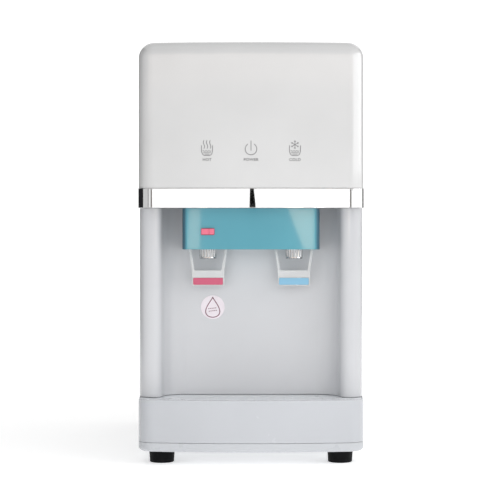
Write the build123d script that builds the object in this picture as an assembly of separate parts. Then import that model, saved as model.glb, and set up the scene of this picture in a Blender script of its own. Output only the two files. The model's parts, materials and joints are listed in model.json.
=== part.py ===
from build123d import *
import os

# Countertop water dispenser, compressor cooled, with three filter cartridges.
# Millimetres, +Z up, the front faces -Y, +X is the viewer's right.
# Origin: on the ground, under the middle of the machine's length and width.

os.makedirs("parts", exist_ok=True)

# Envelope
TRIM_HALF_WIDTH = 130.0
SHELL_HALF_WIDTH = 129.4
TRIM_FRONT = -235.0
SHELL_FRONT = -234.4
CONDENSER_REAR = 235.0
PANEL_REAR = 218.0
TOP = 485.0
WALL = 2.6
SHEET = 1.2

# Plan shape of the front
FRONT_BOW = 11.0
CORNER = 20.0
SPLIT_Y = -118.0

# Levels
FOOT_HEIGHT = 16.0
PAN_TOP = 26.4
TRAY_BOTTOM = 26.75
TRAY_TOP = 75.4
PANEL_BOTTOM = 75.8
PANEL_TOP = 294.4
TRIM_BOTTOM = 294.7
TRIM_TOP = 317.0
HEAD_BOTTOM = 317.3
SIDE_TOP = 455.0
LID_BOTTOM = 455.4
HEAD_EDGE = 18.0

# Dispensing recess
PILLAR_FRONT = -199.0
PILLAR_EDGE_X = 105.5
RECESS_FLAT_X = 97.0
RECESS_BACK = -163.0
PILLAR_OUTER_R = 15.0
PILLAR_INNER_R = 10.0
RECESS_CORNER_R = 26.0
PANEL_SKIN = 2.5

# Taps
TAP_X = 50.0
TAP_Y = -192.0
FEED_Z = 257.0
STEM_R = 2.0
STEM_BORE_R = 2.05
STEM_TOP = 281.65
PIVOT_Y = -180.0
PIVOT_Z = 280.0
PIN_R = 1.5
PIN_BORE_R = 1.55
NOZZLE_R = 10.2
NOZZLE_TIP = 235.6
COVER_BOTTOM = 246.8
COVER_HALF_WIDTH = 79.5
COVER_FRONT = -205.0
COVER_BOW = 2.0
SKIN = 2.0

# Levers
LEVER_THICK = 5.0
LEVER_BOTTOM = 203.9
LEVER_TOP = 288.0
LEVER_HALF_WIDTH = 22.7
LEVER_FOOT_HALF_WIDTH = 18.8
LEVER_ARM = 3.0
STRIP_BOTTOM = 205.2
STRIP_TOP = 213.2
STRIP_HALF_WIDTH = 17.3

# Safety slider
SLIDER_X = -49.8
SLIDER_Z = 267.3
SLIDER_SIZE = (15.5, 7.7)
SLIDER_TRAVEL = 4.0

# Drip grille
GRILLE_HALF_WIDTH = 94.0
GRILLE_FRONT = -228.2
GRILLE_BOW = 5.8
GRILLE_REAR = -171.0
GRILLE_REAR_R = 30.0
DECK_BOTTOM = 72.6
DECK_TOP = 75.2
SLOT_PITCH = 6.0
SLOT_WIDTH = 2.4
SLOT_LENGTH = 36.0
SLOT_GAP = 7.0
SLOT_FIRST_Y = -220.0
SLOT_ROWS = 8

# Cooling side
COLD_X, COLD_Y = 0.0, -75.0
COLD_R = 69.0
COLD_BOTTOM = 314.0
COLD_TOP = 430.0
FOAM_R = 88.0
FOAM_BORE_R = 76.0
COIL_R = 72.2
COIL_TUBE_R = 2.9
COIL_PITCH = 12.0
COIL_TURNS = 6
COIL_BOTTOM = 325.0
COMPRESSOR_X, COMPRESSOR_Y = 52.0, 125.0
COMPRESSOR_R = 62.0
CONDENSER_TUBE_R = 2.4
CONDENSER_WIRE_R = 0.75
CONDENSER_RUNS = 12
CONDENSER_PITCH = 20.0
CONDENSER_BOTTOM = 207.0
CONDENSER_HALF_WIDTH = 100.0
PIPE_X = 108.0

# Hot side
HOT_X, HOT_Y = -60.0, -58.0
HOT_R = 50.0
HOT_BOTTOM = 50.0
HOT_TOP = 186.0

# Water side
TUBE_R = 4.2
TUBE_BORE_R = 2.7
BARB_R = 2.6
BARB_BORE_R = 1.6
FILTER_XS = (-70.0, 0.0, 70.0)
FILTER_Y = 120.0
FILTER_R = 29.0
NECK_R = 12.0
LUG_R = 15.0
MANIFOLD_TOP = 225.0
INLET_X, INLET_Z = -80.0, 140.0
DRAIN_X, DRAIN_Z = -75.0, 38.0

# Mains side
SOCKET_X, SOCKET_Z = -85.0, 85.0
SWITCH_XS = (-48.0, -26.0)
SWITCH_Z = 85.0
SCREW_SPOTS = [(x, z) for x in (-121.0, 121.0) for z in (45.0, 175.0, 305.0, 435.0)]


# ---------------------------------------------------------------- helpers

def block(x0, x1, y0, y1, z0, z1):
    """Box given by its limits."""
    centre = Pos((x0 + x1) / 2, (y0 + y1) / 2, (z0 + z1) / 2)
    return centre * Box(x1 - x0, y1 - y0, z1 - z0)


def rod_z(radius, x, y, z0, z1):
    return Pos(x, y, (z0 + z1) / 2) * Cylinder(radius, z1 - z0)


def rod_y(radius, x, z, y0, y1):
    return Pos(x, (y0 + y1) / 2, z) * Rot(90, 0, 0) * Cylinder(radius, y1 - y0)


def rod_x(radius, y, z, x0, x1):
    return Pos((x0 + x1) / 2, y, z) * Rot(0, 90, 0) * Cylinder(radius, x1 - x0)


def run(points, bend, outer, inner=0.0):
    """Tube along straight runs joined by arcs; solid when inner is 0."""
    path = FilletPolyline(*points, radius=bend)
    start = Plane(origin=path @ 0, z_dir=path % 0)
    section = Circle(outer)
    if inner:
        section = section - Circle(inner)
    return sweep(start * section, path=path)


def helix(x, y, z, radius, pitch, turns, wire_r):
    """Round wire wound about a vertical axis, its first turn starting at +X."""
    path = Helix(pitch, pitch * turns, radius)
    start = Plane(origin=path @ 0, z_dir=path % 0)
    return Pos(x, y, z) * sweep(start * Circle(wire_r), path=path, is_frenet=True)


def bowed_outline(half_width, front, rear, bow, corner):
    """Plan outline with a slightly bowed front and rounded front corners."""
    arc = ThreePointArc((-half_width, front + bow), (0, front), (half_width, front + bow))
    sides = Polyline(
        (half_width, front + bow),
        (half_width, rear),
        (-half_width, rear),
        (-half_width, front + bow),
    )
    face = make_face([arc, sides])
    return fillet(face.vertices().sort_by(Axis.Y)[:2], corner)


def shell_outline(inset, rear):
    return bowed_outline(
        SHELL_HALF_WIDTH - inset, SHELL_FRONT + inset, rear, FRONT_BOW, CORNER - inset
    )


def between(face, z0, z1):
    return Pos(0, 0, z0) * extrude(face, amount=z1 - z0)


def round_corner(face, x, y, radius):
    nearest = face.vertices().sort_by_distance((x, y, 0))[0]
    return fillet(nearest, radius)


def save(name, shape):
    export_step(shape, f"parts/{name}.step")


# ---------------------------------------------------------------- outer shells

def head_form(inset, z0, rear):
    """Head block with its top edges rounded on the front and both sides."""
    top = TOP - inset
    body = between(shell_outline(inset, rear), z0, top)
    rounded = [
        edge
        for edge in body.edges()
        if abs(edge.center().Z - top) < 0.01 and abs(edge.center().Y - rear) > 0.5
    ]
    return fillet(rounded, HEAD_EDGE - inset)


def head_cover():
    shell = head_form(0, HEAD_BOTTOM, SPLIT_Y) - head_form(WALL, HEAD_BOTTOM - 20, SPLIT_Y + 20)
    bosses = [
        rod_y(3.0, x, z, -231.0, -224.0) - rod_y(1.2, x, z, -228.0, -223.0)
        for x in (-62.0, 62.0)
        for z in (343.0, 371.0)
    ]
    return shell + bosses


def chrome_trim():
    outer = bowed_outline(TRIM_HALF_WIDTH, TRIM_FRONT, SPLIT_Y, FRONT_BOW, CORNER)
    inner = bowed_outline(
        TRIM_HALF_WIDTH - SKIN, TRIM_FRONT + SKIN, SPLIT_Y + 10, FRONT_BOW, CORNER - SKIN
    )
    return between(outer - inner, TRIM_BOTTOM, TRIM_TOP)


def recess_outline():
    """Plan outline of the lower front: two pillars with the recess between them."""
    half = [
        (-SHELL_HALF_WIDTH, SPLIT_Y),
        (-SHELL_HALF_WIDTH, PILLAR_FRONT),
        (-PILLAR_EDGE_X, PILLAR_FRONT),
        (-RECESS_FLAT_X, RECESS_BACK),
    ]
    mirrored = [(-x, y) for x, y in reversed(half)]
    face = make_face(Polyline(*half, *mirrored, close=True))
    for side in (-1, 1):
        face = round_corner(face, side * SHELL_HALF_WIDTH, PILLAR_FRONT, PILLAR_OUTER_R)
        face = round_corner(face, side * PILLAR_EDGE_X, PILLAR_FRONT, PILLAR_INNER_R)
        face = round_corner(face, side * RECESS_FLAT_X, RECESS_BACK, RECESS_CORNER_R)
    return face


def front_panel():
    outline = recess_outline()
    hollow = offset(outline, -PANEL_SKIN)
    body = between(outline, PANEL_BOTTOM, PANEL_TOP)
    body -= between(hollow, PANEL_BOTTOM + PANEL_SKIN, PANEL_TOP + 1)
    half = SHELL_HALF_WIDTH - PANEL_SKIN
    body -= block(-half, half, SPLIT_Y - 5, SPLIT_Y + 5, PANEL_BOTTOM + PANEL_SKIN, PANEL_TOP + 1)
    for x in (-TAP_X, TAP_X):
        body -= rod_y(4.8, x, FEED_Z, RECESS_BACK - 5, RECESS_BACK + 5)
    return body


def faucet_cover():
    rear = RECESS_BACK - 0.3
    outer = bowed_outline(COVER_HALF_WIDTH, COVER_FRONT, rear, COVER_BOW, 6.0)
    inner = bowed_outline(
        COVER_HALF_WIDTH - SKIN, COVER_FRONT + SKIN, rear + 10, COVER_BOW, 4.0
    )
    body = between(outer, COVER_BOTTOM, PANEL_TOP)
    body -= between(inner, COVER_BOTTOM + SKIN, PANEL_TOP + 1)
    for x in (-TAP_X, TAP_X):
        body -= rod_z(NOZZLE_R + 0.3, x, TAP_Y, COVER_BOTTOM - 1, COVER_BOTTOM + SKIN + 1)
        for side in (-1, 1):
            a, b = sorted((x + side * 17.8, x + side * 23.6))
            body -= block(a, b, -183.5, -170.5, COVER_BOTTOM - 1, COVER_BOTTOM + SKIN + 1)
    body -= block(-52.2, -43.4, COVER_FRONT - 1, COVER_FRONT + 5, 264.9, 269.7)
    return body


def top_cover():
    """Lift-off lid over the filter bay."""
    def lid_form(inset, z0):
        body = block(
            -SHELL_HALF_WIDTH + inset,
            SHELL_HALF_WIDTH - inset,
            SPLIT_Y + 0.4 + inset,
            PANEL_REAR - inset,
            z0,
            TOP - inset,
        )
        top_edges = body.faces().sort_by(Axis.Z)[-1].edges()
        rounded = [edge for edge in top_edges if edge.center().Y > SPLIT_Y + 10]
        return fillet(rounded, HEAD_EDGE - inset)

    return lid_form(0, LID_BOTTOM) - lid_form(WALL, LID_BOTTOM - 10)


def side_panel(side):
    """Sheet side wall with folded top and rear flanges and cooling slots."""
    outer, inner = side * SHELL_HALF_WIDTH, side * (SHELL_HALF_WIDTH - SHEET)
    fold = side * (SHELL_HALF_WIDTH - 12.0)
    x0, x1 = sorted((outer, inner))
    f0, f1 = sorted((outer, fold))
    z0, y1 = TRAY_BOTTOM, PANEL_REAR - SHEET - 0.2
    body = block(x0, x1, SPLIT_Y + 0.4, y1, z0, SIDE_TOP)
    body += block(f0, f1, SPLIT_Y + 0.4, y1, SIDE_TOP - SHEET, SIDE_TOP)
    body += block(f0, f1, y1 - SHEET, y1, z0, SIDE_TOP)
    slots = [
        block(x0 - 1, x1 + 1, y, y + 48.0, z, z + 4.0)
        for y in (62.0, 124.0)
        for z in range(60, 180, 12)
    ]
    screws = [
        rod_y(1.95, x, z, y1 - 5, y1 + 5) for x, z in SCREW_SPOTS if x * side > 0
    ]
    return body - slots - screws


def rear_panel():
    y0 = PANEL_REAR - SHEET
    half = SHELL_HALF_WIDTH
    body = block(-half, half, y0, PANEL_REAR, TRAY_BOTTOM, SIDE_TOP)
    cuts = [rod_y(1.95, x, z, y0 - 1, PANEL_REAR + 1) for x, z in SCREW_SPOTS]
    cuts += [
        block(5.0, 100.0, y0 - 1, PANEL_REAR + 1, z, z + 4.0) for z in range(60, 180, 10)
    ]
    cuts += [
        rod_y(5.0, PIPE_X, z, y0 - 1, PANEL_REAR + 1)
        for z in (CONDENSER_BOTTOM, condenser_top())
    ]
    cuts.append(rod_y(6.3, INLET_X, INLET_Z, y0 - 1, PANEL_REAR + 1))
    cuts.append(rod_y(6.3, DRAIN_X, DRAIN_Z, y0 - 1, PANEL_REAR + 1))
    cuts.append(rear_cutout(SOCKET_X, SOCKET_Z, 27.4, 20.4))
    cuts += [rear_cutout(x, SWITCH_Z, 13.2, 21.2) for x in SWITCH_XS]
    return body - cuts


def rear_cutout(x, z, width, height):
    return block(
        x - width / 2, x + width / 2, PANEL_REAR - 5, PANEL_REAR + 5, z - height / 2, z + height / 2
    )


def condenser_top():
    return CONDENSER_BOTTOM + CONDENSER_PITCH * (CONDENSER_RUNS - 1)


def inner_frame():
    """Bulkhead behind the drip tray and the floor of the head, welded together."""
    bulkhead = block(-126.0, 126.0, SPLIT_Y + 0.6, SPLIT_Y + 2.1, TRAY_BOTTOM, 295.0)
    floor = between(
        bowed_outline(
            SHELL_HALF_WIDTH - 1.8, SHELL_FRONT + 1.8, 70.0, FRONT_BOW, CORNER - 1.8
        ),
        294.9,
        297.4,
    )
    frame = bulkhead + floor
    frame -= rod_y(6.0, -50.0, 215.0, -125.0, -110.0)
    for x, y in ((30.0, -130.0), (-30.0, -85.0), (PIPE_X, COLD_Y)):
        frame -= rod_z(6.0, x, y, 290.0, 300.0)
    return frame


def base_pan():
    outer = between(shell_outline(0, PANEL_REAR), FOOT_HEIGHT, PAN_TOP)
    low_edges = outer.faces().sort_by(Axis.Z)[0].edges()
    outer = fillet(low_edges, 4.5)
    pocket = between(shell_outline(WALL, PANEL_REAR - WALL), FOOT_HEIGHT + 3.0, PAN_TOP + 1)
    pan = outer - pocket
    for x, y in foot_spots():
        pan -= rod_z(4.1, x, y, FOOT_HEIGHT - 1, FOOT_HEIGHT + 5)
    return pan


def foot_spots():
    return [(x, y) for x in (-103.5, 103.5) for y in (-187.0, 185.0)]


def feet():
    """Four tapered rubber feet, each with a plug pressed into the pan."""
    solids = []
    for x, y in foot_spots():
        pad = Pos(x, y, FOOT_HEIGHT / 2) * Cone(14.0, 15.0, FOOT_HEIGHT)
        pad = chamfer(pad.edges().sort_by(Axis.Z)[0], 0.8)
        solids.append(pad + rod_z(4.0, x, y, FOOT_HEIGHT - 1, FOOT_HEIGHT + 4.0))
    return solids


# ---------------------------------------------------------------- drip tray

def drip_tray():
    outer = between(shell_outline(0, SPLIT_Y - 0.4), TRAY_BOTTOM, TRAY_TOP)
    well = between(shell_outline(WALL, SPLIT_Y - 0.4 - WALL), TRAY_BOTTOM + 2.4, DECK_BOTTOM)
    rim = between(shell_outline(1.6, SPLIT_Y - 2.0), DECK_BOTTOM, TRAY_TOP + 1)
    return outer - well - rim


def grille_plan(grow):
    """Plan of the grille, its front edge bowed like the tray's."""
    face = bowed_outline(
        GRILLE_HALF_WIDTH + grow, GRILLE_FRONT - grow, GRILLE_REAR + grow, GRILLE_BOW, 6.0 + grow
    )
    return fillet(face.vertices().sort_by(Axis.Y)[-2:], GRILLE_REAR_R + grow)


def tray_deck():
    plate = between(shell_outline(1.7, SPLIT_Y - 2.1), DECK_BOTTOM, DECK_TOP)
    ledge = between(grille_plan(3.0) - grille_plan(-4.0), DECK_BOTTOM - 2.0, DECK_BOTTOM + 0.4)
    return plate - between(grille_plan(0.4), DECK_BOTTOM - 1, DECK_TOP + 1) + ledge


def drip_grille():
    plate = between(grille_plan(0.0), DECK_BOTTOM + 0.7, DECK_TOP)
    slots = []
    for row in range(SLOT_ROWS):
        y = SLOT_FIRST_Y + row * SLOT_PITCH
        columns = 4 if row < SLOT_ROWS - 3 else 3
        for column in range(columns):
            x = (column - (columns - 1) / 2) * (SLOT_LENGTH + SLOT_GAP)
            slots.append(Pos(x, y) * SlotOverall(SLOT_LENGTH, SLOT_WIDTH))
    return plate - between(Sketch() + slots, DECK_BOTTOM, DECK_TOP + 1)


# ---------------------------------------------------------------- taps

def tap_body(x):
    """Valve body: outlet, seat and chamber in line, fed from behind."""
    body = rod_z(9.0, x, TAP_Y, 249.05, 262.0)
    body += rod_y(4.5, x, FEED_Z, TAP_Y, -156.0)
    body += rod_y(7.0, x, FEED_Z, -166.5, -163.3)
    body += rod_y(BARB_R, x, FEED_Z, -157.0, -146.0)
    body += block(x - 4.0, x + 4.0, -184.0, -176.0, 256.0, 280.0)
    body += rod_x(4.0, PIVOT_Y, PIVOT_Z, x - 8.0, x + 8.0)
    body -= rod_z(6.5, x, TAP_Y, 249.0, 253.0)
    body -= rod_z(3.5, x, TAP_Y, 252.0, 256.0)
    body -= rod_z(6.5, x, TAP_Y, 255.0, 259.5)
    body -= rod_z(STEM_BORE_R, x, TAP_Y, 258.0, 263.0)
    body -= rod_y(BARB_BORE_R, x, FEED_Z, TAP_Y + 3.0, -145.0)
    body -= rod_x(PIN_R, PIVOT_Y, PIVOT_Z, x - 9.0, x + 9.0)
    return body


def nozzle(x):
    tube = rod_z(NOZZLE_R, x, TAP_Y, NOZZLE_TIP, 249.0)
    tube = chamfer(tube.faces().sort_by(Axis.Z)[0].edges(), 1.0)
    return tube - rod_z(6.5, x, TAP_Y, NOZZLE_TIP - 1, 250.0)


def lever(x):
    """U-shaped cup lever with a cross bar at the pivot and a nose that presses the stem."""
    w, f, a = LEVER_HALF_WIDTH, LEVER_FOOT_HALF_WIDTH, LEVER_ARM
    outer = make_face(
        Polyline(
            (-f, LEVER_BOTTOM), (f, LEVER_BOTTOM), (f, 222.0), (w, 248.0),
            (w, LEVER_TOP), (-w, LEVER_TOP), (-w, 248.0), (-f, 222.0), close=True,
        )
    )
    outer = fillet(outer.vertices().sort_by(Axis.Y)[:2], 2.5)
    inner = make_face(
        Polyline(
            (a - f, 222.0), (f - a, 222.0), (w - a, 248.0), (w - a, 284.5),
            (a - w, 284.5), (a - w, 248.0), close=True,
        )
    )
    inner = fillet(inner.vertices().sort_by(Axis.Y)[:2], 1.0)
    plane = Plane(origin=(x, PIVOT_Y + LEVER_THICK / 2, 0), x_dir=(1, 0, 0), z_dir=(0, -1, 0))
    body = extrude(plane * (outer - inner), amount=LEVER_THICK)
    body += block(x - 4.0, x + 4.0, TAP_Y - 1.0, PIVOT_Y, 284.5, LEVER_TOP)
    body += rod_x(2.0, TAP_Y, PIVOT_Z + 4.0, x - 4.0, x + 4.0)
    body -= rod_x(PIN_BORE_R, PIVOT_Y, PIVOT_Z, x - 30.0, x + 30.0)
    half = STRIP_HALF_WIDTH + 0.05
    front = PIVOT_Y - LEVER_THICK / 2
    body -= block(x - half, x + half, front - 1, front + 1.0, STRIP_BOTTOM - 0.05, STRIP_TOP + 0.05)
    return body


def lever_strip(x):
    front = PIVOT_Y - LEVER_THICK / 2
    half = STRIP_HALF_WIDTH
    strip = block(x - half, x + half, front - 0.4, front + 1.0, STRIP_BOTTOM, STRIP_TOP)
    return fillet(strip.edges().filter_by(Axis.Y), 1.2)


def lever_pins():
    """Headed pivot pins, one for each lever."""
    solids = []
    for x in (-TAP_X, TAP_X):
        pin = rod_x(PIN_R, PIVOT_Y, PIVOT_Z, x - 24.6, x + 24.6)
        pin += rod_x(2.4, PIVOT_Y, PIVOT_Z, x - 24.6, x - 23.1)
        pin += rod_x(2.4, PIVOT_Y, PIVOT_Z, x + 23.1, x + 24.6)
        solids.append(pin)
    return solids


def valve_stem(x):
    return rod_z(STEM_R, x, TAP_Y, 249.7, STEM_TOP) + rod_z(4.5, x, TAP_Y, STEM_TOP - 2, STEM_TOP)


def valve_seal(x):
    return rod_z(5.5, x, TAP_Y, 249.9, 252.65) - rod_z(STEM_R, x, TAP_Y, 249.0, 253.0)


def valve_spring(x):
    return helix(x, TAP_Y, 262.85, 3.4, 2.7, 6, 0.5)


def safety_slider():
    """Thumb button, shank through the cover's slot, and a retaining plate behind it."""
    width, height = SLIDER_SIZE
    x0, x1 = SLIDER_X - width / 2, SLIDER_X + width / 2
    z0, z1 = SLIDER_Z - height / 2, SLIDER_Z + height / 2
    button = block(x0, x1, -206.2, -204.85, z0, z1)
    button = fillet(button.edges().filter_by(Axis.Y), 1.0)
    ridge_x = x0 + 0.6 * width
    button += block(ridge_x - 0.5, ridge_x + 0.5, -206.7, -206.0, z0 + 1.0, z1 - 1.0)
    shank = block(-51.8, -47.8, -205.0, -201.0, 265.3, 269.3)
    plate = block(-56.0, -43.6, -201.6, -200.4, 263.0, 271.6)
    return button + shank + plate


def guide_sticker():
    return rod_y(14.0, -45.0, 178.0, RECESS_BACK - 0.3, RECESS_BACK)


# ---------------------------------------------------------------- cold side

def cold_tank():
    can = rod_z(COLD_R, COLD_X, COLD_Y, COLD_BOTTOM, COLD_TOP)
    can = fillet(can.faces().sort_by(Axis.Z)[0].edges(), 8.0)
    hollow = rod_z(COLD_R - 1.2, COLD_X, COLD_Y, COLD_BOTTOM + 1.2, COLD_TOP + 8)
    hollow = fillet(hollow.faces().sort_by(Axis.Z)[0].edges(), 6.8)
    can -= hollow
    for x, y in ((30.0, -130.0), (-30.0, -85.0)):
        can += rod_z(BARB_R, x, y, 305.0, COLD_BOTTOM + 2.0)
        can -= rod_z(BARB_BORE_R, x, y, 304.0, COLD_BOTTOM + 9.0)
    return can


def tank_lid():
    """Cold tank lid with its locating rim and the rod that guides the level float."""
    lid = rod_z(74.0, COLD_X, COLD_Y, COLD_TOP + 0.2, COLD_TOP + 3.2)
    rim = rod_z(67.4, COLD_X, COLD_Y, COLD_TOP - 4.0, COLD_TOP + 1.0)
    rim -= rod_z(65.4, COLD_X, COLD_Y, COLD_TOP - 5.0, COLD_TOP + 1.0)
    rod = rod_z(3.0, -35.0, -95.0, 352.0, COLD_TOP + 1.0) + rod_z(5.5, -35.0, -95.0, 348.0, 352.0)
    return lid + rim + rod - rod_z(4.6, 45.0, -60.0, COLD_TOP - 5, COLD_TOP + 5)


def level_float():
    ring = rod_z(11.0, -35.0, -95.0, 352.35, 372.0)
    ring = fillet(ring.edges().filter_by(GeomType.CIRCLE), 3.0)
    return ring - rod_z(3.35, -35.0, -95.0, 350.0, 375.0)


def cold_insulation():
    """Foam jacket and its separate lid."""
    jacket = rod_z(FOAM_R, COLD_X, COLD_Y, 297.8, 436.0)
    jacket -= rod_z(FOAM_BORE_R, COLD_X, COLD_Y, 312.5, 437.0)
    for x, y in ((30.0, -130.0), (-30.0, -85.0)):
        jacket -= rod_z(5.0, x, y, 290.0, 313.0)
    jacket -= rod_x(4.2, COLD_Y, 397.0, 70.0, 95.0)
    lid = rod_z(FOAM_R, COLD_X, COLD_Y, 436.2, 444.8) - rod_z(8.0, 45.0, -60.0, 430.0, 450.0)
    return [jacket, lid]


def evaporator_coil():
    return helix(COLD_X, COLD_Y, COIL_BOTTOM, COIL_R, COIL_PITCH, COIL_TURNS, COIL_TUBE_R)


def compressor():
    """Hermetic compressor: domed can on a mounting plate, relay box on its side."""
    can = rod_z(COMPRESSOR_R, COMPRESSOR_X, COMPRESSOR_Y, 38.0, 168.0)
    can = fillet(can.faces().sort_by(Axis.Z)[-1].edges(), 28.0)
    can = fillet(can.faces().sort_by(Axis.Z)[0].edges(), 16.0)
    seam = rod_z(COMPRESSOR_R + 2.0, COMPRESSOR_X, COMPRESSOR_Y, 102.0, 106.0)
    neck = rod_z(42.0, COMPRESSOR_X, COMPRESSOR_Y, 30.0, 42.0)
    plate = block(-16.0, 120.0, 70.0, 180.0, 27.6, 30.6)
    plate = fillet(plate.edges().filter_by(Axis.Z), 10.0)
    relay_box = block(-26.0, 0.0, 103.0, 147.0, 62.0, 98.0)
    body = can + seam + neck + plate + relay_box
    for x, y in grommet_spots():
        body -= rod_z(3.6, x, y, 20.0, 35.0)
    return body


def grommet_spots():
    return [(x, y) for x in (-6.0, 110.0) for y in (80.0, 170.0)]


def compressor_mounts():
    """Rubber grommets under the compressor plate."""
    solids = []
    for x, y in grommet_spots():
        grommet = rod_z(8.0, x, y, FOOT_HEIGHT + 3.1, 27.4)
        grommet += rod_z(3.4, x, y, 27.0, 32.0)
        solids.append(grommet)
    return solids


def refrigerant_pipes():
    """Copper work: suction line, discharge line, liquid line with drier, capillary."""
    top = condenser_top()
    suction = run(
        [
            (97.2, 79.8, 112), (PIPE_X, 69, 112), (PIPE_X, 69, 250), (PIPE_X, COLD_Y, 250),
            (PIPE_X, COLD_Y, 397), (76, COLD_Y, 397),
        ],
        8.0, 3.5, 2.7,
    )
    discharge = run(
        [
            (97.2, 170.2, 112), (PIPE_X, 181, 112), (PIPE_X, 181, CONDENSER_BOTTOM),
            (PIPE_X, 220.9, CONDENSER_BOTTOM),
        ],
        8.0, 3.0, 2.3,
    )
    liquid = run(
        [(PIPE_X, 220.9, top), (PIPE_X, 204, top), (PIPE_X, 204, 402)], 8.0, 2.4, 1.7
    )
    drier = rod_z(9.0, PIPE_X, 204, 322, 402.0)
    drier = fillet(drier.edges().filter_by(GeomType.CIRCLE), 6.0)
    capillary = run(
        [
            (PIPE_X, 204, 322), (PIPE_X, 204, 306), (119, 190, 306), (119, -90, 306),
            (119, -90, 330), (87.6, -90, 330),
        ],
        6.0, 1.2,
    )
    return [suction, discharge, liquid, drier, capillary]


def condenser():
    """Serpentine tube with wires welded on both faces, on four stand-off lugs."""
    tube_y = CONDENSER_REAR - 2 * CONDENSER_WIRE_R - CONDENSER_TUBE_R - 0.05
    points = [(PIPE_X, 221.0, CONDENSER_BOTTOM), (PIPE_X, tube_y, CONDENSER_BOTTOM)]
    for index in range(CONDENSER_RUNS):
        z = CONDENSER_BOTTOM + index * CONDENSER_PITCH
        side = -1 if index % 2 == 0 else 1
        if index:
            points.append((-side * CONDENSER_HALF_WIDTH, tube_y, z))
        if index < CONDENSER_RUNS - 1:
            points.append((side * CONDENSER_HALF_WIDTH, tube_y, z))
    points += [(PIPE_X, tube_y, condenser_top()), (PIPE_X, 221.0, condenser_top())]
    solids = [run(points, 9.4, CONDENSER_TUBE_R, 1.7)]
    offset_y = CONDENSER_TUBE_R + CONDENSER_WIRE_R + 0.05
    for index in range(16):
        x = (index - 7.5) * 12.0
        for y in (tube_y - offset_y, tube_y + offset_y):
            solids.append(rod_z(CONDENSER_WIRE_R, x, y, 198.0, 436.0))
    lug_rear = tube_y - offset_y - CONDENSER_WIRE_R - 0.05
    for x in (-84.0, 84.0):
        for z in (217.0, 417.0):
            solids.append(block(x - 5, x + 5, PANEL_REAR + 0.05, lug_rear, z - 7, z + 7))
    return solids


# ---------------------------------------------------------------- hot side

def hot_tank():
    """Domed heating tank on three legs, with two top ports and a bottom drain port."""
    can = rod_z(HOT_R, HOT_X, HOT_Y, HOT_BOTTOM, HOT_TOP)
    can = fillet(can.edges().filter_by(GeomType.CIRCLE), 14.0)
    hollow = rod_z(HOT_R - 1.5, HOT_X, HOT_Y, HOT_BOTTOM + 1.5, HOT_TOP - 1.5)
    hollow = fillet(hollow.edges().filter_by(GeomType.CIRCLE), 12.5)
    for x, y in ((-29.0, -40.0), (-91.0, -40.0), (-60.0, -94.0)):
        can += rod_z(4.0, x, y, FOOT_HEIGHT + 3.1, HOT_BOTTOM + 6.0)
    for x, y in ((-50.0, -70.0), (-72.0, -45.0)):
        can += rod_z(BARB_R, x, y, HOT_TOP - 1.0, HOT_TOP + 10.0)
    for x, y in ((-75.0, -75.0), (-42.0, -45.0)):
        can += rod_z(8.0, x, y, HOT_TOP - 0.5, HOT_TOP + 7.0)
    can += rod_z(BARB_R, DRAIN_X, HOT_Y, HOT_BOTTOM - 3.4, HOT_BOTTOM + 1.0)
    can -= hollow
    for x, y in ((-50.0, -70.0), (-72.0, -45.0)):
        can -= rod_z(BARB_BORE_R, x, y, HOT_TOP - 3.0, HOT_TOP + 11.0)
    can -= rod_z(BARB_BORE_R, DRAIN_X, HOT_Y, HOT_BOTTOM - 5.0, HOT_BOTTOM + 3.0)
    return can


def heater_band():
    band = rod_z(HOT_R + 3.6, HOT_X, HOT_Y, 80.0, 120.0) - rod_z(HOT_R + 0.1, HOT_X, HOT_Y, 79.0, 121.0)
    return band + block(-8.0, 2.0, -68.0, -48.0, 88.0, 112.0)


# ---------------------------------------------------------------- water side

def manifold():
    """Filter head block with three bayonet sockets that open upwards."""
    body = block(-100.0, 100.0, 100.0, 140.0, 203.0, MANIFOLD_TOP)
    body = fillet(body.edges().filter_by(Axis.Z), 6.0)
    for x in (-85.0, 85.0):
        body += block(x - 8.0, x + 8.0, 138.0, PANEL_REAR - SHEET - 0.1, 203.0, 209.0)
    for x in FILTER_XS:
        body -= rod_z(NECK_R + 0.3, x, FILTER_Y, 209.0, MANIFOLD_TOP + 1)
        body -= rod_z(LUG_R + 0.4, x, FILTER_Y, 213.0, 219.0)
        entry = rod_z(LUG_R + 0.4, x, FILTER_Y, 218.0, MANIFOLD_TOP + 1)
        body -= entry & block(x - 4.4, x + 4.4, 100.0, 140.0, 217.0, MANIFOLD_TOP + 2)
    for side in (-1, 1):
        outer, stub, inner = side * 100.0, side * 103.5, side * 84.0
        a, b = sorted((outer - side, stub))
        body += rod_x(BARB_R, FILTER_Y, 211.0, a, b)
        a, b = sorted((inner, stub + side))
        body -= rod_x(BARB_BORE_R, FILTER_Y, 211.0, a, b)
    return body


def filter_cartridge(x):
    """Cartridge with a grip bar, ribs at its ends and a two-lug bayonet neck."""
    can = rod_z(FILTER_R, x, FILTER_Y, 225.6, 428.0)
    can = fillet(can.edges().filter_by(GeomType.CIRCLE), 5.0)
    for z in (240.0, 405.0):
        can += rod_z(FILTER_R + 1.0, x, FILTER_Y, z, z + 8.0)
    grip = block(x - 22.0, x + 22.0, FILTER_Y - 4.0, FILTER_Y + 4.0, 426.0, 441.0)
    grip = fillet(grip.edges().filter_by(Axis.Y), 4.0)
    neck = rod_z(NECK_R, x, FILTER_Y, 209.6, 227.0) - rod_z(4.0, x, FILTER_Y, 209.0, 224.0)
    ears = rod_z(LUG_R, x, FILTER_Y, 213.4, 218.6)
    ears &= block(x - 16.0, x + 16.0, FILTER_Y - 3.8, FILTER_Y + 3.8, 213.0, 219.0)
    ears -= rod_z(NECK_R - 1.0, x, FILTER_Y, 212.0, 220.0)
    return can + grip + neck + ears


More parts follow.
